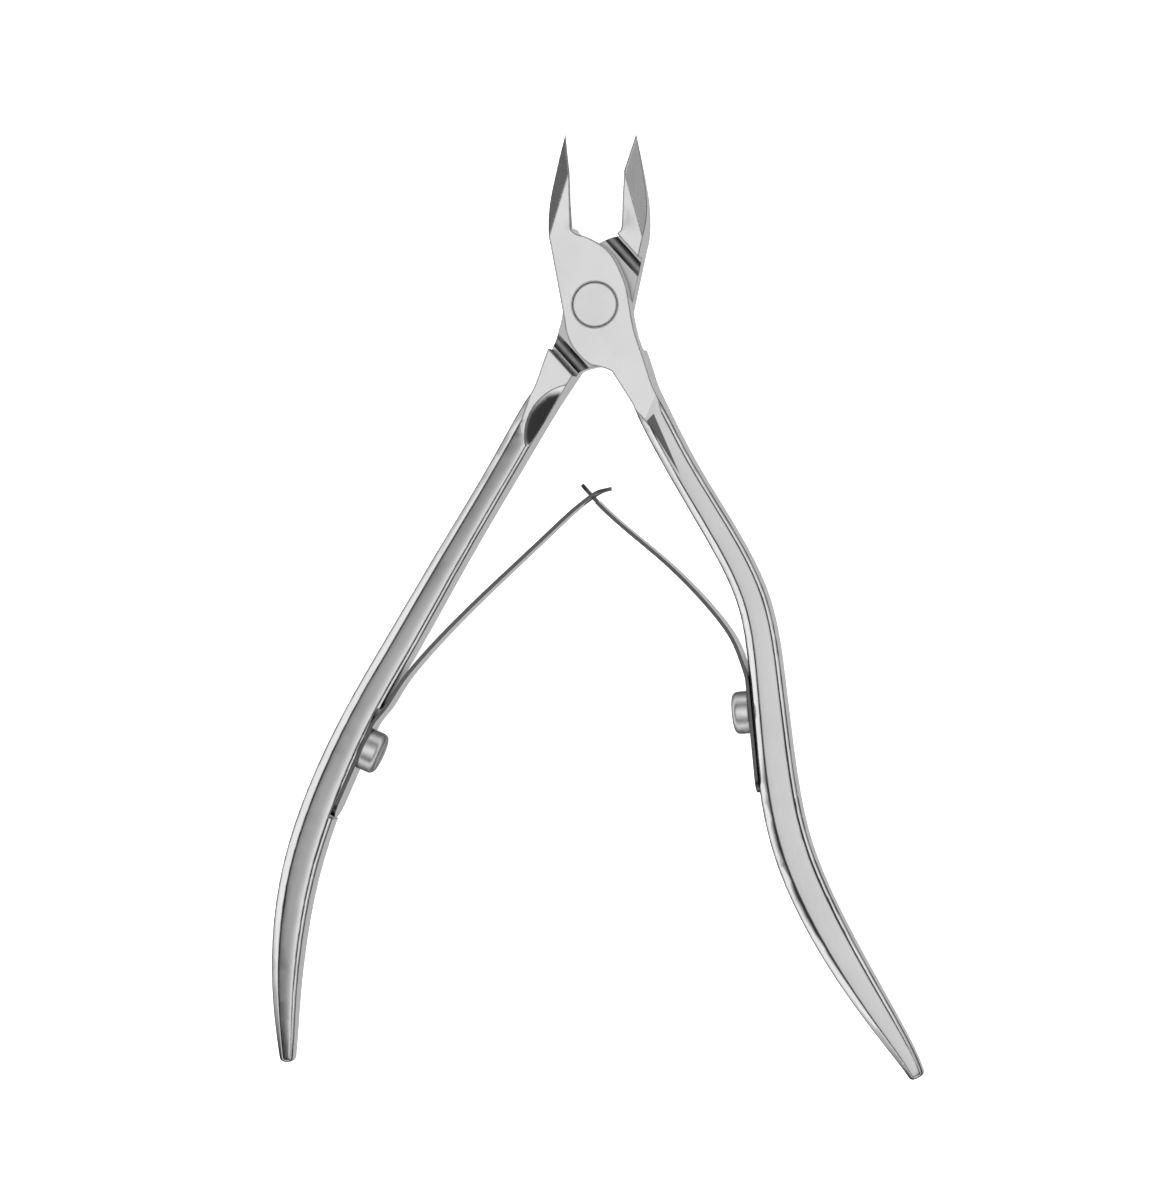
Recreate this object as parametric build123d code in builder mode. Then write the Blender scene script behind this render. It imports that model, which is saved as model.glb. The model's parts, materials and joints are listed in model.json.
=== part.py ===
from build123d import *
import math
import os

# Cuticle nipper with a lap joint and two crossing leaf springs, drawn with its handles open.
# Origin: on the pivot axis, at the back face that the joint rests on.
# +Z runs along the pivot towards the front, +Y points at the jaws, +X is the right-hand side.
# Both levers are the same forging at the joint: the back one is the front one turned over
# about the Y direction. Only their handles curve differently.

os.makedirs("parts", exist_ok=True)

# ---- Joint and jaws (mm) ----
THICKNESS = 6.0            # of both lap plates together, and of the jaws
LAP_GAP = 0.04             # between the two lap faces
HALF_ANGLE = 11.65         # each jaw's cutting plane leans out by this when open, degrees
MEETING_GAP = 0.03         # left between each cutting face and the middle when closed
TIP_Y = 21.0               # jaw tips
HEEL_Y = 16.3              # lower end of the cutting edges, on the front and back faces
THROAT_X = 3.12            # inner edge of a jaw where it meets the lap plate
THROAT_Y = 9.3
FACET_FOOT = (-5.5, 9.1)   # where the ground facet runs out on the jaw's outer edge
SLOT_HALF = 7.8            # shoulders of the lap recess, from the pivot
SLOT_LEAN = 47.15          # angle of the shoulders' normal, away from the Y axis, degrees
SLOT_REACH = 14.0          # the slot's cutter runs clear of the plate at both ends
GROOVE_R = 1.15            # round groove milled along the foot of each shoulder
GROOVE_DEPTH = 0.25
DISH_R = 9.0               # shallow spherical dish on the inner corner of each jaw
DISH_DEPTH = 0.18
DISH_CENTRE = (-3.0, 10.6)
RELIEF_THROAT = 0.7        # each jaw's inner face falls away behind its front edge by this much,
RELIEF_FULL = 0.85         # at the throat and from RELIEF_Y upwards, measured at the back face
RELIEF_Y = 13.0
RELIEF_OUTSIDE = 0.6       # how far the relief's cutter stands clear of the jaw

# ---- Handles ----
ROOT_CENTRE = (6.28, -11.45)    # right handle's root; the left handle's root mirrors it
ROOT_HALF = 1.55                # half width there
ROOT_RISE = 3.95                # half height there, so that the bevels start above the faces
ROOT_ACROSS = 29.75             # direction from the root's inner to its outer side, degrees
WIDE_BEVEL = 0.56               # bevels as shares of the section's half width
NARROW_BEVEL = 0.27
WIDE_DROP = 0.7                 # how far each bevel falls
NARROW_DROP = 0.45
CROWN_TILT = 0.2                # the front face falls this much towards the outer side
EDGE_ROUND = 0.28               # rounding of the section's corners, as a share of its half width

# centre x, centre y, half width, half height of each section, from the root to the end
RIGHT_STATIONS = [
    (ROOT_CENTRE[0], ROOT_CENTRE[1], ROOT_HALF, ROOT_RISE),
    (8.02, -15.0, 1.71, 2.98),
    (10.06, -18.7, 1.68, 2.86),
    (16.0, -28.4, 1.77, 2.72),
    (19.55, -35.6, 1.84, 2.66),
    (21.43, -45.4, 2.01, 2.6),
    (22.58, -55.1, 2.22, 2.55),
    (24.55, -64.8, 2.32, 2.45),
    (28.8, -74.5, 2.27, 2.3),
    (34.75, -84.2, 1.85, 2.1),
    (38.0, -89.0, 1.42, 1.85),
    (40.2, -92.6, 0.95, 1.6),
]
LEFT_STATIONS = [
    (-ROOT_CENTRE[0], ROOT_CENTRE[1], ROOT_HALF, ROOT_RISE),
    (-9.31, -16.5, 1.69, 3.02),
    (-12.1, -21.4, 1.65, 2.86),
    (-17.8, -31.2, 1.75, 2.72),
    (-23.4, -41.1, 1.9, 2.66),
    (-28.85, -50.9, 1.98, 2.6),
    (-32.9, -60.0, 2.15, 2.5),
    (-35.8, -69.0, 2.15, 2.4),
    (-37.3, -78.5, 1.9, 2.25),
    (-37.55, -85.5, 1.5, 2.0),
    (-37.4, -90.2, 1.12, 1.75),
    (-37.3, -92.5, 0.88, 1.6),
]
END_ROUND = 0.6                 # rounding of the handles' ends, drawn in steps
END_STEP = 30                   # degrees
LENS_R = 10.2                   # round hollow ground across the inner edge of each handle's root
LENS_CENTRE = (2.13, -15.97)    # for the right handle, where it lies on the back
LENS_LIFT = 8.0                 # its centre, off the face

# ---- Pivot rivet ----
PIVOT_HEAD_R = 2.7
PIVOT_HEAD_H = 1.2
PIVOT_SHANK_R = 1.6
PIVOT_TAIL_R = 2.2
PIVOT_TAIL_H = 1.0
RUNNING_GAP = 0.03         # radial, and under the head
RIM_BREAK = 0.12           # small chamfer round the flush ends

# ---- Leaf springs and their screws ----
LEAF_T = 0.45
LEAF_ROOT_HALF = 2.25      # half width (along Z) at the screw
LEAF_TIP_HALF = 1.3        # half width at the crossing
FOOT_ROUND = 0.8           # rounding of a leaf's foot, as a share of its half width there
FLEX_GAP = 0.08            # between a leaf's clamped root and its free arm
SCREW_HEAD_R = 2.6
SCREW_HEAD_H = 2.05
SCREW_SHANK_R = 1.0
SCREW_SHANK_L = 2.4
SCREW_SLOT_W = 0.7
SCREW_SLOT_D = 0.8
SCREW_RIM = 0.7             # rounding of the head's rim
EYE_HALF = 0.78            # half width of the eye in the left leaf
TONGUE_HALF = 0.55         # half width of the right leaf's tongue
EYE_REACH = 1.5            # the eye's length each way from the crossing
SHOULDER_BACK = 1.0        # the tongue's shoulders stand this far short of the crossing
TIP_REACH = 1.8            # the leaves' tips, past the crossing
SEAT_END_GAP = 0.2         # the seat runs past the leaf's foot
SEAT_LIFT_GAP = 2.6        # and past the place where the leaf bends off it
LEAF_SEAT_REACH = 2.0      # the seat's cutter clears the handle's inner side

# Each leaf: screw on the handle's inner face, direction of the seat towards the pivot (degrees
# from +X), clamped length below and above the screw, and the free arm's way to the crossing.
CROSSING = (-0.4, -23.25)
LEFT_SCREW = (-28.44, -54.3)
LEFT_HEADING = 66.8
LEFT_BELOW = 9.2
LEFT_ABOVE = SCREW_HEAD_R + 0.05
LEFT_FLEX = (-21.2, -43.5)
LEFT_WAY = [(-25.5, -49.6), (-23.7, -46.75), LEFT_FLEX, (-14.05, -35.95), (-5.5, -27.75)]
LEFT_TIP = [(0.6, -22.66), (1.95, -22.3)]
RIGHT_SCREW = (19.82, -49.15)
RIGHT_HEADING = 96.2
RIGHT_BELOW = 9.85
RIGHT_ABOVE = SCREW_HEAD_R + 0.95
RIGHT_FLEX = (17.6, -41.0)
RIGHT_WAY = [(18.65, -43.6), RIGHT_FLEX, (14.9, -37.2), (8.05, -30.5)]
RIGHT_TIP = [(-1.0, -22.6), (-1.7, -21.85)]

# ---- Derived ----
MID_Z = THICKNESS / 2
FRONT_LAP_Z = MID_Z + LAP_GAP / 2
BACK_LAP_Z = MID_Z - LAP_GAP / 2
CUT_OUTSIDE = 30.0         # how far cutting blocks reach past the metal
SHEET = 150.0              # half size of a sheet that covers the whole tool


def on_cutting_line(y):
    """A point of the front lever's cutting plane, set back by the meeting gap."""
    lean = math.radians(HALF_ANGLE)
    return (-y * math.tan(lean) - MEETING_GAP / math.cos(lean), y)


def unit(degrees):
    """Unit vector in the XY plane."""
    return Vector(math.cos(math.radians(degrees)), math.sin(math.radians(degrees)), 0)


def make_head():
    """Jaw, lap plate and handle root of one lever: jaw on the left, lap recess at the back."""
    tip = on_cutting_line(TIP_Y)
    heel = on_cutting_line(HEEL_Y)
    throat = (-THROAT_X, THROAT_Y)
    across = unit(ROOT_ACROSS) * ROOT_HALF
    root_inner = (ROOT_CENTRE[0] - across.X, ROOT_CENTRE[1] - across.Y)
    root_outer = (ROOT_CENTRE[0] + across.X, ROOT_CENTRE[1] + across.Y)
    up_root = unit(ROOT_ACROSS + 90)

    with BuildPart() as head:
        with BuildSketch(Plane.XY):
            with BuildLine():
                outer = Spline(tip, (-4.96, TIP_Y - 2.75), (-5.54, HEEL_Y - 1.0), (-5.97, 12.4),
                               (-5.95, 9.6), (-5.5, 7.0))
                waist = Line(outer @ 1, (-3.68, -2.0))
                belly = ThreePointArc(waist @ 1, (-2.35, -5.6), (-0.35, -7.36))
                crotch = Spline(belly @ 1, (2.3, -8.2),
                                tangents=((0.98, -0.1), (0.6, -0.8)), tangent_scalars=(0.6, 0.6))
                Line(crotch @ 1, root_inner)
                Line(root_inner, root_outer)
                flank = Spline(root_outer, (6.2, -6.9), (4.92, -3.29), (4.2, 0.2), (3.41, 3.3),
                               tangents=((up_root.X, up_root.Y), (-0.42, 0.91)))
                crown = Spline(flank @ 1, (2.25, 5.61), (0.49, 7.35), (-1.0, 8.12), (-1.95, 8.4),
                               tangents=((-0.42, 0.91), (-1, 0.1)))
                throat_round = Spline(crown @ 1, throat,
                                      tangents=((-1, 0.1), (-0.2, 1)), tangent_scalars=(0.9, 0.9))
                Line(throat_round @ 1, heel)
                Line(heel, tip)
            make_face()
        extrude(amount=THICKNESS)

        # The facet runs from the cutting edge to the outer edge and meets the tip half way up.
        for face_z in (THICKNESS, 0):
            tip_point = Vector(tip[0], tip[1], MID_Z)
            heel_point = Vector(heel[0], heel[1], face_z)
            foot_point = Vector(FACET_FOOT[0], FACET_FOOT[1], face_z)
            normal = (tip_point - heel_point).cross(foot_point - heel_point)
            if normal.Z * (face_z - MID_Z) < 0:
                normal = -normal
            split(bisect_by=Plane(heel_point, z_dir=normal), keep=Keep.BOTTOM)

        # Shallow dishes on the inner corner, front and back.
        for centre_z in (THICKNESS + DISH_R - DISH_DEPTH, DISH_DEPTH - DISH_R):
            with Locations((DISH_CENTRE[0], DISH_CENTRE[1], centre_z)):
                Sphere(DISH_R, mode=Mode.SUBTRACT)

        # Lap recess: a wide slot with a round groove along the foot of each shoulder.
        slot_x = unit(90 + SLOT_LEAN)
        slot_plane = Plane((0, 0, FRONT_LAP_Z), x_dir=slot_x, z_dir=slot_x.cross(Vector(0, 0, 1)))
        groove_x = SLOT_HALF - GROOVE_R
        groove_y = GROOVE_DEPTH - GROOVE_R
        with BuildSketch(slot_plane):
            with Locations((0, -THICKNESS / 2)):
                Rectangle(2 * SLOT_HALF, THICKNESS)
            with Locations((-groove_x, groove_y), (groove_x, groove_y)):
                Circle(GROOVE_R)
        extrude(amount=SLOT_REACH, both=True, mode=Mode.SUBTRACT)
    return head.part


def make_relief():
    """Wedge ground off behind the front lever's inner jaw edge, so that the edge does the cutting."""
    tip = on_cutting_line(TIP_Y)
    heel = on_cutting_line(HEEL_Y)
    share = (RELIEF_Y - THROAT_Y) / (HEEL_Y - THROAT_Y)
    middle_x = -THROAT_X + (heel[0] + THROAT_X) * share
    edge = [(-THROAT_X, THROAT_Y, THICKNESS, RELIEF_THROAT),
            (middle_x, RELIEF_Y, THICKNESS, RELIEF_FULL),
            (heel[0], HEEL_Y, THICKNESS, RELIEF_FULL),
            (tip[0], TIP_Y, MID_Z, RELIEF_FULL * MID_Z / THICKNESS)]
    with BuildPart() as relief:
        for x, y, top, depth in edge:
            with BuildSketch(Plane((x, y, 0), x_dir=(1, 0, 0), z_dir=(0, -1, 0))):
                with BuildLine():
                    Polyline((0, top), (-2 * depth, -top), (RELIEF_OUTSIDE, -top), close=True)
                make_face()
        loft(ruled=True)
    return relief.part


def handle_section(plane, half_w, half_h, outer_side):
    """Bevelled section of a handle, with rounded corners."""
    wide = WIDE_BEVEL * half_w
    narrow = NARROW_BEVEL * half_w
    left_top = half_h - (CROWN_TILT if outer_side < 0 else 0)
    right_top = half_h - (CROWN_TILT if outer_side > 0 else 0)
    upper = [(half_w, right_top - NARROW_DROP), (half_w - narrow, right_top),
             (wide - half_w, left_top), (-half_w, left_top - WIDE_DROP)]
    lower = [(u, -w) for u, w in reversed(upper)]
    with BuildSketch(plane) as section:
        with BuildLine():
            Polyline(*upper, *lower, close=True)
        make_face()
        fillet(vertices(), EDGE_ROUND * half_w)
    return section.sketch.face()


def make_handle(stations, outer_side):
    """Handle lofted through its stations. outer_side is +1 when it lies on the right."""
    centreline = Spline([(x, y) for x, y, _, _ in stations])
    body_sections = []
    for x, y, half_w, half_h in stations:
        tangent = centreline.tangent_at(Vector(x, y))
        if not body_sections:
            # The first section lies flush on the root that the joint's plate ends with.
            root_way = unit(ROOT_ACROSS - 90)
            tangent = Vector(outer_side * root_way.X, root_way.Y, 0)
        plane = Plane((x, y, MID_Z), x_dir=Vector(0, 0, 1).cross(tangent), z_dir=tangent)
        body_sections.append(handle_section(plane, half_w, half_h, outer_side))
    end_sections = []
    for angle in range(0, 91, END_STEP):
        past = END_ROUND * math.sin(math.radians(angle))
        shrink = END_ROUND * (1 - math.cos(math.radians(angle)))
        end_sections.append(handle_section(plane.offset(past), half_w - shrink, half_h - shrink,
                                           outer_side))
    with BuildPart() as handle:
        loft(sections=body_sections)
        loft(sections=end_sections, ruled=True)
        # The joint's ground faces run out along the top of each handle.
        with BuildSketch(Plane.XY):
            Rectangle(2 * SHEET, 2 * SHEET)
        extrude(amount=THICKNESS, mode=Mode.INTERSECT)
    return handle.part


head_blank = make_head()
jaw_relief = make_relief()
right_handle = make_handle(RIGHT_STATIONS, 1)
left_handle = make_handle(LEFT_STATIONS, -1)

def seat_plane(screw, heading, turn):
    """Leaf's seat: x runs towards the pivot and z points off the handle's inner face."""
    return Plane((screw[0], screw[1], MID_Z), x_dir=unit(heading), z_dir=unit(heading + turn))


def make_seat_cutter(seat, below, above):
    """Metal that the leaf's flat seat and the blind screw hole remove from a handle."""
    with BuildPart() as cutter:
        with BuildSketch(seat):
            with Locations((above + SEAT_LIFT_GAP, 0)):
                Rectangle(above + below + SEAT_LIFT_GAP + SEAT_END_GAP, THICKNESS,
                          align=(Align.MAX, Align.CENTER))
        extrude(amount=LEAF_SEAT_REACH)
        with BuildSketch(seat):
            Circle(SCREW_SHANK_R)
        extrude(amount=-SCREW_SHANK_L)
    return cutter.part


def make_leaf(seat, below, above, way, tip, flex, tongue):
    """One leaf spring in two bodies: its clamped root and its free arm, split at the flex line."""
    foot = seat.from_local_coords(Vector(-below, 0, LEAF_T / 2))
    lift = seat.from_local_coords(Vector(above, 0, LEAF_T / 2))
    chord = Vector(CROSSING[0] - lift.X, CROSSING[1] - lift.Y, 0)
    side = Plane(lift, x_dir=chord, z_dir=chord.cross(Vector(0, 0, 1)))
    reach = chord.length
    if tongue:
        upper = [(reach - SHOULDER_BACK, LEAF_TIP_HALF), (reach - SHOULDER_BACK, TONGUE_HALF),
                 (reach + TIP_REACH / 2, TONGUE_HALF), (reach + TIP_REACH, TONGUE_HALF / 2)]
    else:
        upper = [(reach + TIP_REACH / 2, LEAF_TIP_HALF), (reach + TIP_REACH, LEAF_TIP_HALF / 2)]
    upper = ([(-CUT_OUTSIDE, LEAF_ROOT_HALF), (0, LEAF_ROOT_HALF)] + upper
             + [(reach + 2 * TIP_REACH, upper[-1][1])])
    lower = [(u, -w) for u, w in reversed(upper)]

    with BuildPart() as leaf:
        with BuildSketch(Plane.XY.offset(MID_Z)):
            with BuildLine():
                Line((foot.X, foot.Y), (lift.X, lift.Y))
                free = Spline((lift.X, lift.Y), *way, CROSSING, *tip,
                              tangents=((seat.x_dir.X, seat.x_dir.Y),
                                        (tip[1][0] - tip[0][0], tip[1][1] - tip[0][1])))
            trace(line_width=LEAF_T)
        extrude(amount=LEAF_ROOT_HALF, both=True)
        with BuildSketch(side):
            with BuildLine():
                Polyline(*upper, *lower, close=True)
            make_face()
        extrude(amount=CUT_OUTSIDE, both=True, mode=Mode.INTERSECT)
        foot_edges = edges().filter_by(lambda edge: abs(edge.length - LEAF_T) < 0.01)
        fillet(foot_edges.sort_by(Axis(foot, seat.x_dir))[:2], LEAF_ROOT_HALF * FOOT_ROUND)
        with BuildSketch(seat):
            Circle(SCREW_SHANK_R)
        extrude(amount=LEAF_T, mode=Mode.SUBTRACT)
        if not tongue:
            with BuildSketch(side):
                with Locations((reach, 0)):
                    SlotOverall(2 * EYE_REACH, 2 * EYE_HALF)
            extrude(amount=CUT_OUTSIDE, both=True, mode=Mode.SUBTRACT)

    flex_way = free.tangent_at(Vector(*flex))
    halves = []
    for way_sign, keep in ((-1, Keep.BOTTOM), (1, Keep.TOP)):
        cut_at = Vector(*flex) + flex_way * (way_sign * FLEX_GAP / 2)
        with BuildPart() as half:
            add(leaf.part)
            split(bisect_by=Plane(cut_at, z_dir=flex_way), keep=keep)
        halves.append(half.part)
    return halves


def make_screw(seat):
    """Slotted cheese-head screw, seated on its leaf."""
    with BuildPart() as screw:
        with BuildSketch(seat.offset(LEAF_T)):
            Circle(SCREW_HEAD_R)
        extrude(amount=SCREW_HEAD_H)
        fillet(faces().sort_by(Axis(seat.origin, seat.z_dir))[-1].edges(), SCREW_RIM)
        with BuildSketch(seat.offset(LEAF_T + SCREW_HEAD_H)):
            Rectangle(2 * SCREW_HEAD_R, SCREW_SLOT_W)
        extrude(amount=-SCREW_SLOT_D, mode=Mode.SUBTRACT)
        with BuildSketch(seat.offset(LEAF_T)):
            Circle(SCREW_SHANK_R)
        extrude(amount=-LEAF_T - SCREW_SHANK_L)
    return screw.part


def finish_piece(part, name):
    """Label a finished piece and write it out."""
    part.label = name
    export_step(part, f"parts/{name}.step")
    print(name, part.is_valid, len(part.solids()), round(part.volume, 2))


left_seat = seat_plane(LEFT_SCREW, LEFT_HEADING, -90)
right_seat = seat_plane(RIGHT_SCREW, RIGHT_HEADING, 90)
left_cutter = make_seat_cutter(left_seat, LEFT_BELOW, LEFT_ABOVE)
right_cutter = make_seat_cutter(right_seat, RIGHT_BELOW, RIGHT_ABOVE)
left_leaf = make_leaf(left_seat, LEFT_BELOW, LEFT_ABOVE, LEFT_WAY, LEFT_TIP, LEFT_FLEX, False)
right_leaf = make_leaf(right_seat, RIGHT_BELOW, RIGHT_ABOVE, RIGHT_WAY, RIGHT_TIP, RIGHT_FLEX, True)

with BuildPart() as front_lever:
    add(head_blank)
    add(right_handle)
    add(right_cutter, mode=Mode.SUBTRACT)
    add(jaw_relief, mode=Mode.SUBTRACT)
    with Locations((LENS_CENTRE[0], LENS_CENTRE[1], -LENS_LIFT)):
        Sphere(LENS_R, mode=Mode.SUBTRACT)
    with Locations((0, 0, THICKNESS)):
        CounterBoreHole(radius=PIVOT_SHANK_R + RUNNING_GAP,
                        counter_bore_radius=PIVOT_HEAD_R + RUNNING_GAP,
                        counter_bore_depth=PIVOT_HEAD_H + RUNNING_GAP)
    front_circles = edges().filter_by(GeomType.CIRCLE).filter_by_position(Axis.Z, THICKNESS - 0.01,
                                                                         THICKNESS + 0.01)
    chamfer(front_circles.sort_by_distance((0, 0, THICKNESS))[0], RIM_BREAK)

with BuildPart() as back_lever:
    add(head_blank.rotate(Axis((0, 0, MID_Z), (0, 1, 0)), 180))
    add(left_handle)
    add(left_cutter, mode=Mode.SUBTRACT)
    add(mirror(jaw_relief, about=Plane.YZ), mode=Mode.SUBTRACT)
    with Locations((-LENS_CENTRE[0], LENS_CENTRE[1], THICKNESS + LENS_LIFT)):
        Sphere(LENS_R, mode=Mode.SUBTRACT)
    with BuildSketch(Plane.XY):
        Circle(PIVOT_TAIL_R)
    extrude(amount=PIVOT_TAIL_H, mode=Mode.SUBTRACT)
    with BuildSketch(Plane.XY):
        Circle(PIVOT_SHANK_R)
    extrude(amount=THICKNESS, mode=Mode.SUBTRACT)

with BuildPart() as pivot_rivet:
    with BuildSketch(Plane.XY):
        Circle(PIVOT_TAIL_R)
    extrude(amount=PIVOT_TAIL_H)
    with BuildSketch(Plane.XY):
        Circle(PIVOT_SHANK_R)
    extrude(amount=THICKNESS)
    with BuildSketch(Plane.XY.offset(THICKNESS - PIVOT_HEAD_H)):
        Circle(PIVOT_HEAD_R)
    extrude(amount=PIVOT_HEAD_H)
    chamfer(faces().sort_by(Axis.Z)[-1].edges(), RIM_BREAK)

pieces = {
    "front_lever": front_lever.part,
    "back_lever": back_lever.part,
    "pivot_rivet": pivot_rivet.part,
    "left_spring_root": left_leaf[0],
    "left_spring_arm": left_leaf[1],
    "right_spring_root": right_leaf[0],
    "right_spring_arm": right_leaf[1],
    "left_spring_screw": make_screw(left_seat),
    "right_spring_screw": make_screw(right_seat),
}
for name, part in pieces.items():
    finish_piece(part, name)
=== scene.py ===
import json
import math

import bmesh
import bpy
from mathutils import Matrix, Vector


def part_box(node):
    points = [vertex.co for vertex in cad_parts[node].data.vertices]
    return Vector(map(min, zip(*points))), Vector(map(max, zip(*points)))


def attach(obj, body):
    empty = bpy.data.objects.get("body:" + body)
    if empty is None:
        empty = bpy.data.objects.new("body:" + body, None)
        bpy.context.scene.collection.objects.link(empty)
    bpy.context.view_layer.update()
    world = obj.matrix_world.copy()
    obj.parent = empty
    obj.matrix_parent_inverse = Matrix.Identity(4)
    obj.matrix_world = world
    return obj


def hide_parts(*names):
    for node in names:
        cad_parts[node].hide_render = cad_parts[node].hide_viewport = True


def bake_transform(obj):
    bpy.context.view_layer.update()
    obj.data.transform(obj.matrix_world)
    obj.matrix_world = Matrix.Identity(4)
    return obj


# Looks of the cuticle nipper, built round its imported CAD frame. Metres, in the frame's own axes.

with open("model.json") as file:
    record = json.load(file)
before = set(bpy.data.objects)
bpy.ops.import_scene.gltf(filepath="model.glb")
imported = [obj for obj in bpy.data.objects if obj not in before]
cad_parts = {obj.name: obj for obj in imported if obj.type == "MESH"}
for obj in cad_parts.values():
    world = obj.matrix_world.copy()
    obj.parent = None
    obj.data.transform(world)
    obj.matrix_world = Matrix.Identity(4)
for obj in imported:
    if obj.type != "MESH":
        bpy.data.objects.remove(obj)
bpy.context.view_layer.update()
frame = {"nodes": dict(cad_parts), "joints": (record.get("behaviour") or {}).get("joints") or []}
MM = 0.001

# ---- Camera: over the front face, leaning towards the right-hand side ----
CAMERA_HEIGHT = 800 * MM
CAMERA_LEAN = math.radians(8.9)     # from the pivot's axis, towards +X
CAMERA_ROLL = math.radians(0.8)
AIM = Vector((-1.15, -35.9, 3.0)) * MM
VIEW_HEIGHT = 146.3 * MM            # the picture's height at the object
SENSOR = 36.0


def look_down():
    """Long-lens camera above the tool."""
    camera = bpy.data.objects.new("camera", bpy.data.cameras.new("camera"))
    bpy.context.scene.collection.objects.link(camera)
    offset = Vector((math.tan(CAMERA_LEAN), 0, 1)) * CAMERA_HEIGHT
    camera.location = AIM + offset
    lean = Matrix.Rotation(CAMERA_LEAN, 3, "Y")
    roll = Matrix.Rotation(CAMERA_ROLL, 3, "Z")
    camera.rotation_euler = (lean @ roll).to_euler()
    camera.data.sensor_width = SENSOR
    camera.data.lens = SENSOR * offset.length / VIEW_HEIGHT
    camera.data.clip_start = 0.05
    camera.data.clip_end = 10
    bpy.context.scene.camera = camera


# ---- Materials ----
EDGE_RADIUS = 0.3 * MM              # worn rounding that every polished edge shows
# painted shade: the tint darkens along every rounded edge, down to this share
EDGE_SHADE_TONE = 0.3                  # share of the tint left along an edge
SHEEN_REACH = 1.6 * MM              # how far across a handle's flat the painted sheen grades
SHEEN_TURN = 0.25                   # sideways part of the rounded normal at both ends of the grading
# painted shade between two pieces: how far the darkening reaches, and below, the share of the tint
# left deepest
CREVICE = 0.9 * MM
CONTACT_SHADE_TONE = 0.12                 # share of the tint left deep between two pieces
LINE_BLUR = 0.06 * MM               # half the width of a change of finish
BEVEL_SAMPLES = 6
CONTACT_SHADE_SAMPLES = 4
BLUE_CAST = 1.004                   # blue over red in the steel's tint


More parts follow.
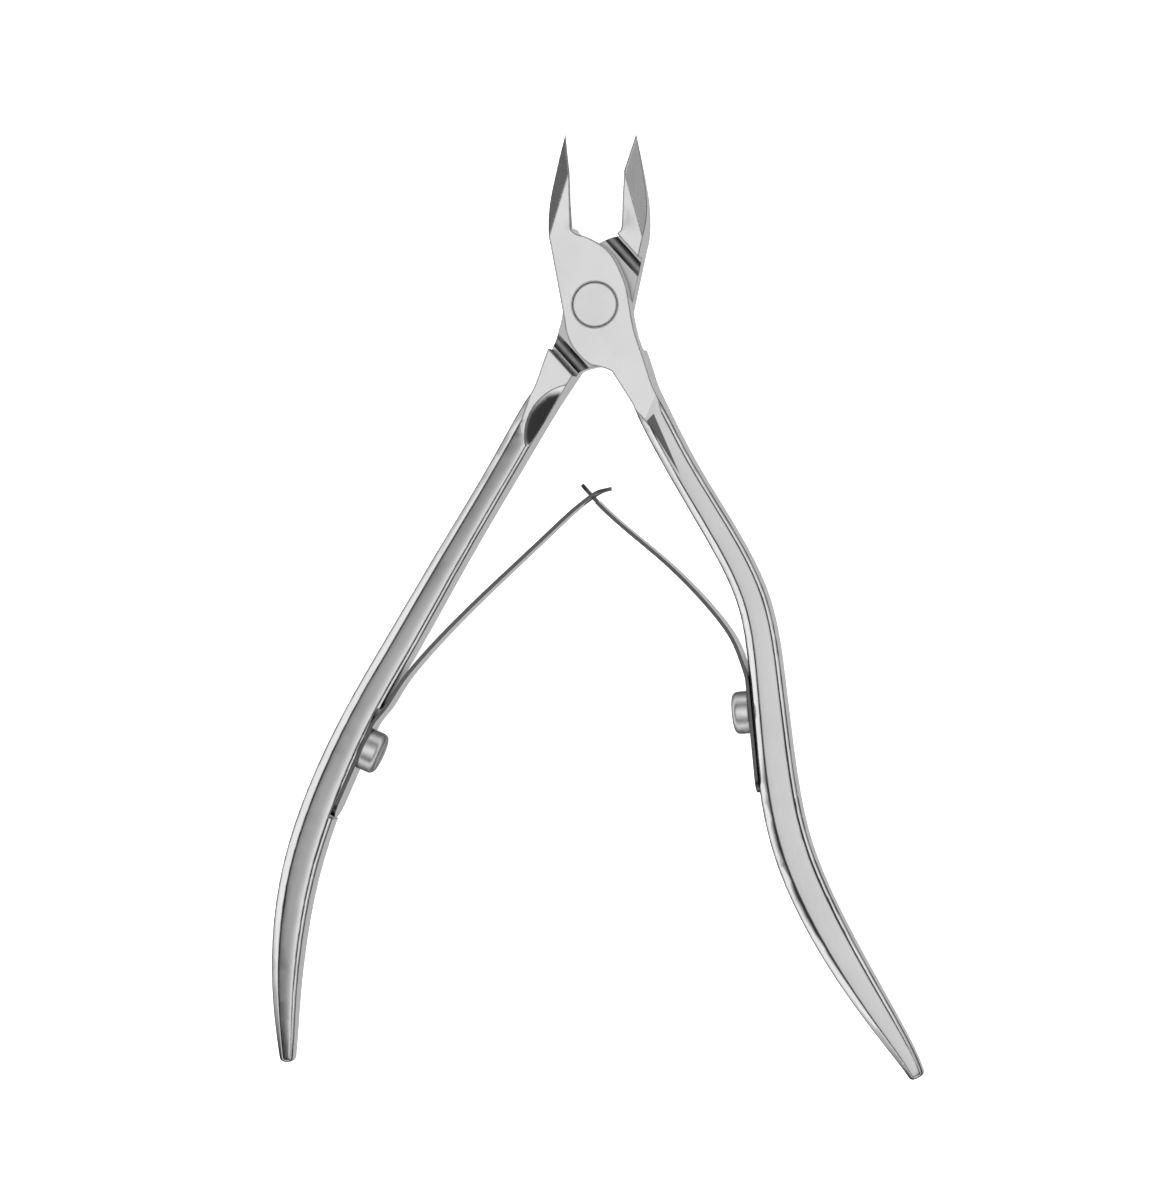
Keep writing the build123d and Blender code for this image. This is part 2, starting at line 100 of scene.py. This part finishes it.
class Steel:
    """Stainless steel material under construction, with short ways to add its nodes."""

    def __init__(self, name):
        self.material = bpy.data.materials.new(name)
        self.material.use_nodes = True
        self.nodes = self.material.node_tree.nodes
        self.links = self.material.node_tree.links
        self.shader = self.nodes["Principled BSDF"]
        self.shader.inputs["Metallic"].default_value = 1.0
        self.coords = self.nodes.new("ShaderNodeTexCoord")
        self.place = self.coords.outputs["Object"]

    def calc(self, operation, *values):
        """Math node on numbers or sockets."""
        node = self.nodes.new("ShaderNodeMath")
        node.operation = operation
        for socket, value in zip(node.inputs, values):
            if isinstance(value, (int, float)):
                socket.default_value = value
            else:
                self.links.new(value, socket)
        return node.outputs["Value"]

    def ramp(self, value, low, high, at_low, at_high):
        """Smooth step of a socket from at_low to at_high."""
        node = self.nodes.new("ShaderNodeMapRange")
        node.interpolation_type = "SMOOTHSTEP"
        node.inputs["From Min"].default_value = low
        node.inputs["From Max"].default_value = high
        for name, end in (("To Min", at_low), ("To Max", at_high)):
            if isinstance(end, (int, float)):
                node.inputs[name].default_value = end
            else:
                self.links.new(end, node.inputs[name])
        self.links.new(value, node.inputs["Value"])
        return node.outputs["Result"]

    def noise(self, scale, detail, stretch=None):
        """Noise over the object's own axes, drawn out along a direction when stretch is given."""
        node = self.nodes.new("ShaderNodeTexNoise")
        node.inputs["Scale"].default_value = scale
        node.inputs["Detail"].default_value = detail
        place = self.place
        if stretch:
            angle, factor = stretch
            mapping = self.nodes.new("ShaderNodeMapping")
            mapping.inputs["Rotation"].default_value = (0, 0, angle)
            mapping.inputs["Scale"].default_value = (1, 1 / factor, 1)
            self.links.new(place, mapping.inputs["Vector"])
            place = mapping.outputs["Vector"]
        self.links.new(place, node.inputs["Vector"])
        return node.outputs["Fac"]

    def part(self, vector, axis):
        """One axis of a vector socket."""
        node = self.nodes.new("ShaderNodeSeparateXYZ")
        self.links.new(vector, node.inputs["Vector"])
        return node.outputs[axis]

    def upright(self):
        """How far a face looks up or down in the object's own axes, 0 to 1."""
        return self.calc("ABSOLUTE", self.part(self.coords.outputs["Normal"], "Z"))

    def along(self, way):
        """Distance from the pivot's axis along a flat direction."""
        node = self.nodes.new("ShaderNodeVectorMath")
        node.operation = "DOT_PRODUCT"
        node.inputs[1].default_value = (way[0], way[1], 0)
        self.links.new(self.place, node.inputs[0])
        return node.outputs["Value"]

    def past(self, point, way):
        """0 before the line through a point (mm) square to a direction, and 1 beyond it."""
        line = (point[0] * way[0] + point[1] * way[1]) * MM
        return self.ramp(self.along(way), line - LINE_BLUR, line + LINE_BLUR, 0, 1)

    def rounding(self, radius):
        """Normal with every edge rounded by a radius."""
        bevel = self.nodes.new("ShaderNodeBevel")
        bevel.samples = BEVEL_SAMPLES
        bevel.inputs["Radius"].default_value = radius
        return bevel.outputs["Normal"]

    def finish(self, tint, roughness, grain, depth, cloud, edge=EDGE_RADIUS):
        """Tint and roughness varied by grain and cloud, a bump of the grain, rounded edges with
        their dark border painted into the tint as painted shade, and painted shade where two pieces
        meet."""
        edge_normal = self.rounding(edge)
        facing = self.nodes.new("ShaderNodeNewGeometry")
        turn = self.nodes.new("ShaderNodeVectorMath")
        turn.operation = "DOT_PRODUCT"
        self.links.new(edge_normal, turn.inputs[0])
        self.links.new(facing.outputs["Normal"], turn.inputs[1])
        # painted shade: the tint is darkened along each rounded edge, where the rounded normal turns
        # away
        edge_shade = self.ramp(turn.outputs["Value"], 0.92, 0.99, EDGE_SHADE_TONE, 1)
        # painted shade: the tint darkens where another surface is near, in the gaps between two pieces
        contact_shade = self.nodes.new("ShaderNodeAmbientOcclusion")
        contact_shade.samples = CONTACT_SHADE_SAMPLES
        contact_shade.inputs["Distance"].default_value = CREVICE
        shade = self.ramp(contact_shade.outputs["AO"], 0.15, 0.75, CONTACT_SHADE_TONE, 1)
        tone = self.calc("MULTIPLY", self.ramp(cloud, 0.3, 0.7, 0.97, 1.03),
                         self.ramp(grain, 0.2, 0.8, 0.975, 1.025))
        tone = self.calc("MULTIPLY", tone, tint)
        tone = self.calc("MULTIPLY", tone, self.calc("MULTIPLY", edge_shade, shade))
        colour = self.nodes.new("ShaderNodeCombineColor")
        self.links.new(tone, colour.inputs["Red"])
        self.links.new(tone, colour.inputs["Green"])
        self.links.new(self.calc("MULTIPLY", tone, BLUE_CAST), colour.inputs["Blue"])
        self.links.new(colour.outputs["Color"], self.shader.inputs["Base Color"])
        rough = self.calc("MULTIPLY", self.ramp(grain, 0.2, 0.8, 0.85, 1.15), roughness)
        self.links.new(rough, self.shader.inputs["Roughness"])
        bump = self.nodes.new("ShaderNodeBump")
        bump.inputs["Strength"].default_value = 0.6
        bump.inputs["Distance"].default_value = depth
        self.links.new(grain, bump.inputs["Height"])
        self.links.new(edge_normal, bump.inputs["Normal"])
        self.links.new(bump.outputs["Normal"], self.shader.inputs["Normal"])
        return self.material


def lever_steel(name, run_out, brush_angle, satin, wedge=()):
    """Lever: bright ground joint, satin flats past the run-out line, polished sides.
    run_out is a point on that line and the direction towards the handle.
    satin is the flats' tint at their -X and +X sides: their satin tint with a painted sheen grading
    across them.
    wedge holds a point and an inward direction for each side of a wedge painted dark on the front: a
    painted dark reflection standing in for a facet."""
    steel = Steel(name)
    flat = steel.ramp(steel.upright(), *FLAT_FACES, 0, 1)
    handle = steel.past(*run_out)
    grain = steel.noise(3500, 4, stretch=(brush_angle, 6))
    cloud = steel.noise(140, 3)
    # painted sheen: the tint grades across each handle flat with the sideways lean of a wide rounded
    # normal
    sideways = steel.part(steel.rounding(SHEEN_REACH), "X")
    sheen = steel.ramp(sideways, -SHEEN_TURN, SHEEN_TURN, *satin)
    tint = steel.ramp(flat, 0, 1, POLISHED_TINT, steel.ramp(handle, 0, 1, GROUND_TINT, sheen))
    # painted reflection: a wedge on the front of the handle is darkened where a facet would reflect
    # dark
    if wedge:
        inside = steel.ramp(steel.part(steel.place, "Z"), *DARK_REFLECTION_HEIGHTS, 0, 1)
        for point, inward in wedge:
            inside = steel.calc("MULTIPLY", inside, steel.past(point, inward))
        tint = steel.calc("MULTIPLY", tint, steel.ramp(inside, 0, 1, 1, DARK_REFLECTION_TONE))
    rough = steel.ramp(flat, 0, 1, POLISHED_ROUGH, steel.ramp(handle, 0, 1, GROUND_ROUGH, SATIN_ROUGH))
    return steel.finish(tint, rough, grain, 0.35e-6, cloud)


def plain_steel(name, tint, roughness, scale, depth, stretch=None, edge=EDGE_RADIUS):
    """Steel of one finish. scale and depth are the grain's, and stretch its direction and ratio."""
    steel = Steel(name)
    return steel.finish(tint, roughness, steel.noise(scale, 4, stretch), depth,
                        steel.noise(200, 3), edge)


def recess_steel(name, slot_direction):
    """Milled lap recess, its tint darkened towards the shoulder as painted shade from that shoulder.
    """
    steel = Steel(name)
    reach = steel.calc("ABSOLUTE", steel.along(slot_direction))
    # painted shade: the machined tint falls towards the shoulder
    tint = steel.ramp(reach, *RECESS_SHADE, 0.34, 0.04)
    mill_marks = steel.noise(2600, 3, stretch=(math.atan2(slot_direction[1], slot_direction[0]), 12))
    return steel.finish(tint, 0.4, mill_marks, 1.2e-6, steel.noise(300, 3), 0.08 * MM)


def strip_steel(name):
    """Spring strip: polished faces, and dark edges left from slitting the sheet."""
    steel = Steel(name)
    slit = steel.ramp(steel.upright(), 0.5, 0.8, 0, 1)
    tint = steel.ramp(slit, 0, 1, 0.75, 0.14)
    return steel.finish(tint, steel.ramp(slit, 0, 1, 0.12, 0.35), steel.noise(3000, 4), 0.3e-6,
                        steel.noise(200, 3), 0.1 * MM)


POLISHED_TINT = 0.8
GROUND_TINT = 0.73
# handle flats' tints at -X and +X: their satin tint with a painted sheen grading across them
RIGHT_SATIN_AND_SHEEN = (0.53, 0.64)
LEFT_SATIN_AND_SHEEN = (0.32, 0.8)
POLISHED_ROUGH = 0.07
GROUND_ROUGH = 0.24
SATIN_ROUGH = 0.2
FLAT_FACES = (0.95, 0.985)                  # how upright a face is, from polished side to flat
RECESS_SHADE = (6.5 * MM, 7.6 * MM)         # from the pivot, where the painted shade of the recess deepens
DARK_REFLECTION_TONE = 0.2
DARK_REFLECTION_HEIGHTS = (4.2 * MM, 4.6 * MM)        # the painted dark reflection starts above the lap

# lines across the levers: a point (mm) and a direction square to the line
FRONT_RUN_OUT = ((7.52, -11.1), (0.923, -0.385))
BACK_RUN_OUT = ((-9.3, -13.4), (-0.973, -0.231))
FRONT_DARK_REFLECTION = (((6.58, -14.09), (0.842, 0.54)),
               ((7.43, -13.17), (-0.913, -0.408)),
               ((6.58, -14.09), (0.734, -0.679)))

front_steel = lever_steel("front_lever_steel", FRONT_RUN_OUT, math.radians(-20), RIGHT_SATIN_AND_SHEEN,
                          FRONT_DARK_REFLECTION)
back_steel = lever_steel("back_lever_steel", BACK_RUN_OUT, math.radians(28), LEFT_SATIN_AND_SHEEN)
facet_steel = plain_steel("ground_facet", 0.9, 0.26, 6000, 0.25e-6, (math.radians(70), 8))
floor_steel = plain_steel("lap_face", 0.5, 0.22, 4000, 0.5e-6, (math.radians(43), 10), 0.08 * MM)
relief_steel = plain_steel("relief_grind", 0.2, 0.3, 5000, 0.8e-6, (math.radians(90), 8), 0.08 * MM)
rivet_steel = plain_steel("rivet_steel", 0.71, 0.24, 4500, 0.4e-6, None, 0.1 * MM)
spring_steel = strip_steel("spring_strip")
screw_steel = plain_steel("turned_screw", 0.95, 0.42, 1100, 30e-6, None, 0.2 * MM)


# ---- Levers and small parts ----
WELD = 2e-6
SHARP = math.radians(20)


def soften(bm):
    """Weld a CAD mesh across its faces and mark the edges that stay sharp."""
    bmesh.ops.remove_doubles(bm, verts=bm.verts, dist=WELD)
    for edge in bm.edges:
        edge.smooth = not (edge.is_manifold and edge.calc_face_angle() > SHARP)
    for face in bm.faces:
        face.smooth = True
        face.material_index = 0


def add_piece(bm, name, material):
    """Mesh object with area-weighted normals, so that flat faces stay flat."""
    mesh = bpy.data.meshes.new(name)
    bm.to_mesh(mesh)
    bm.free()
    piece = bpy.data.objects.new(name, mesh)
    bpy.context.scene.collection.objects.link(piece)
    mesh.materials.append(material)
    weighted = piece.modifiers.new("flat faces stay flat", "WEIGHTED_NORMAL")
    weighted.keep_sharp = True
    weighted.weight = 50
    return piece


def dress(node, body, material):
    """Piece that follows a CAD node's own shape and stands in for it."""
    bm = bmesh.new()
    bm.from_mesh(frame["nodes"][node].data)
    soften(bm)
    piece = add_piece(bm, node + "_steel", material)
    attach(piece, body)
    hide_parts(node)
    return piece


def assign(piece, material, wanted):
    """Give a material to the faces whose centre and normal pass the test."""
    piece.data.materials.append(material)
    index = len(piece.data.materials) - 1
    for face in piece.data.polygons:
        if wanted(face.center, face.normal):
            face.material_index = index


front = dress("front_lever", "front_half", front_steel)
back = dress("back_lever", "back_half", back_steel)
dress("pivot_rivet", "back_half", rivet_steel)
dress("left_spring_screw", "back_half", screw_steel)
dress("right_spring_screw", "front_half", screw_steel)

# the recess and the jaws of both levers, as the CAD has them
SHOULDER = 7.8 * MM         # from the pivot to each shoulder of the recess
SLOT_LEAN = math.radians(47.15)
THROAT = 9.2 * MM           # the jaws start past here
LAP_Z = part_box("front_lever")[1].z / 2
LAP_PLAY = 0.05 * MM
GROOVE_REACH = 0.7 * MM     # the groove stays this close to the lap faces
LEVEL = 0.9999              # a face at least this upright is level
GROOVE_SLOPE = 0.2          # the groove's faces are more upright than this
SQUARE_ON = 0.95            # a face that looks along the slot's direction
FACET_SLOPE = (0.5, 0.75)
RELIEF_SLOPE = 0.3
RELIEF_FACING = 0.9


def finish_regions(lever, side):
    """Recess, lap face, jaw facet and jaw relief of one lever; side is its jaw's side of the pivot."""
    slot_way = Vector((side * math.sin(SLOT_LEAN), math.cos(SLOT_LEAN), 0))

    def in_groove(centre, normal):
        return (abs(centre.z - LAP_Z) < GROOVE_REACH
                and abs(centre.dot(slot_way)) < SHOULDER + LAP_PLAY
                and centre.xy.length < 1.5 * SHOULDER
                and GROOVE_SLOPE < abs(normal.z) < LEVEL)

    def on_shoulder(centre, normal):
        return (abs(abs(centre.dot(slot_way)) - SHOULDER) < LAP_PLAY
                and abs(normal.dot(slot_way)) > SQUARE_ON)

    def on_recess(centre, normal):
        return on_shoulder(centre, normal) or in_groove(centre, normal)

    def on_lap_face(centre, normal):
        return abs(centre.z - LAP_Z) < LAP_PLAY and abs(normal.z) > LEVEL

    def on_facet(centre, normal):
        return centre.y > THROAT and FACET_SLOPE[0] < abs(normal.z) < FACET_SLOPE[1]

    def on_relief(centre, normal):
        return (centre.y > THROAT and abs(normal.z) < RELIEF_SLOPE
                and -side * normal.x > RELIEF_FACING)

    assign(lever, recess_steel(f"lap_recess_{side}", slot_way), on_recess)
    assign(lever, floor_steel, on_lap_face)
    assign(lever, facet_steel, on_facet)
    assign(lever, relief_steel, on_relief)


finish_regions(front, -1)
finish_regions(back, 1)


# ---- Leaf springs: one strip each, welded across the flex line ----
FLEX_GAP = 0.09 * MM        # a little over the CAD's gap between root and arm
CUT_REACH = 0.4 * MM        # the faces of the cut lie this close to the flex line
NEAR_ARM = 3 * MM


def joint_place(name):
    """Where a joint of the frame is."""
    return Vector(next(joint for joint in frame["joints"] if joint["name"] == name)["pos_m"])


def spring_strip(side):
    """One strip over a leaf's root and arm, welded across the line where the CAD parts them."""
    flex = joint_place(f"{side}_leaf_flex")
    bm = bmesh.new()
    for part in ("root", "arm"):
        bm.from_mesh(frame["nodes"][f"{side}_spring_{part}"].data)
    bmesh.ops.remove_doubles(bm, verts=bm.verts, dist=WELD)
    way = arm_way(side, flex)
    ends = [face for face in bm.faces if abs(face.normal.dot(way)) > 0.9
            and all((vert.co.xy - flex.xy).length < CUT_REACH for vert in face.verts)]
    bmesh.ops.delete(bm, geom=ends, context="FACES_ONLY")
    bmesh.ops.delete(bm, geom=[edge for edge in bm.edges if not edge.link_faces], context="EDGES")
    rim = [vert for vert in bm.verts if vert.is_boundary]
    bmesh.ops.remove_doubles(bm, verts=rim, dist=FLEX_GAP)
    soften(bm)
    piece = add_piece(bm, f"{side}_spring_strip", spring_steel)
    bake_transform(piece)
    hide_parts(f"{side}_spring_root", f"{side}_spring_arm")


def arm_way(side, flex):
    """Direction from the flex line into the free arm."""
    near_end = [vert.co for vert in frame["nodes"][f"{side}_spring_arm"].data.vertices
                if (vert.co.xy - flex.xy).length < NEAR_ARM]
    middle = sum(near_end, Vector()) / len(near_end)
    return (middle - flex).xy.to_3d().normalized()


spring_strip("left")
spring_strip("right")


# ---- Studio ----
# brightness of the room that the steel reflects, by the sine of the elevation
ROOM = [(-1.0, 0.52), (-0.93, 0.46), (-0.86, 0.05), (-0.5, 0.05), (-0.36, 0.14), (-0.2, 0.3),
        (-0.06, 0.42), (0.1, 0.6), (0.2, 1.0), (0.4, 1.0), (0.48, 0.04), (0.84, 0.04), (0.92, 0.8),
        (0.96, 1.0), (1.0, 1.0)]

LIGHTS = (("key", (-0.3, 0.3, 0.8), 6), ("fill", (0.4, -0.4, 0.8), 4))      # name, place, watts
LIGHT_SIZE = 0.5
FLOOR_SIZE = 6
FLOOR_DROP = 0.02 * MM      # the floor stays clear of the back face
FLOOR_GLOW = 0.85


def studio():
    """Pale floor, soft lights, and the room that the steel reflects."""
    bpy.ops.mesh.primitive_plane_add(size=FLOOR_SIZE, location=(0, 0, -FLOOR_DROP))
    floor = bpy.context.object
    floor.name = "floor"
    material = bpy.data.materials.new("floor")
    material.use_nodes = True
    shader = material.node_tree.nodes["Principled BSDF"]
    shader.inputs["Base Color"].default_value = (0.9, 0.9, 0.9, 1)
    shader.inputs["Roughness"].default_value = 0.9
    shader.inputs["Specular IOR Level"].default_value = 0.1
    shader.inputs["Emission Color"].default_value = (1, 1, 1, 1)
    shader.inputs["Emission Strength"].default_value = FLOOR_GLOW
    floor.data.materials.append(material)
    floor.visible_glossy = False

    world = bpy.data.worlds.new("room")
    bpy.context.scene.world = world
    world.use_nodes = True
    nodes, links = world.node_tree.nodes, world.node_tree.links
    coords = nodes.new("ShaderNodeTexCoord")
    split = nodes.new("ShaderNodeSeparateXYZ")
    links.new(coords.outputs["Generated"], split.inputs["Vector"])
    height = nodes.new("ShaderNodeMapRange")
    height.inputs["From Min"].default_value = -1
    height.inputs["From Max"].default_value = 1
    links.new(split.outputs["Z"], height.inputs["Value"])
    ramp = nodes.new("ShaderNodeValToRGB")
    links.new(height.outputs["Result"], ramp.inputs["Fac"])
    links.new(ramp.outputs["Color"], nodes["Background"].inputs["Color"])
    elements = ramp.color_ramp.elements
    elements[0].position = 0
    elements[1].position = 1
    for sine, _ in ROOM[1:-1]:
        elements.new((sine + 1) / 2)
    for element, (sine, value) in zip(elements, ROOM):
        element.color = (value, value, value, 1)

    for name, place, power in LIGHTS:
        light = bpy.data.objects.new(name, bpy.data.lights.new(name, "AREA"))
        light.data.size = LIGHT_SIZE
        light.data.energy = power
        light.location = place
        light.rotation_euler = (AIM - Vector(place)).to_track_quat("-Z", "Y").to_euler()
        light.visible_glossy = False
        bpy.context.scene.collection.objects.link(light)


look_down()
studio()
bpy.context.scene.view_settings.view_transform = "Standard"
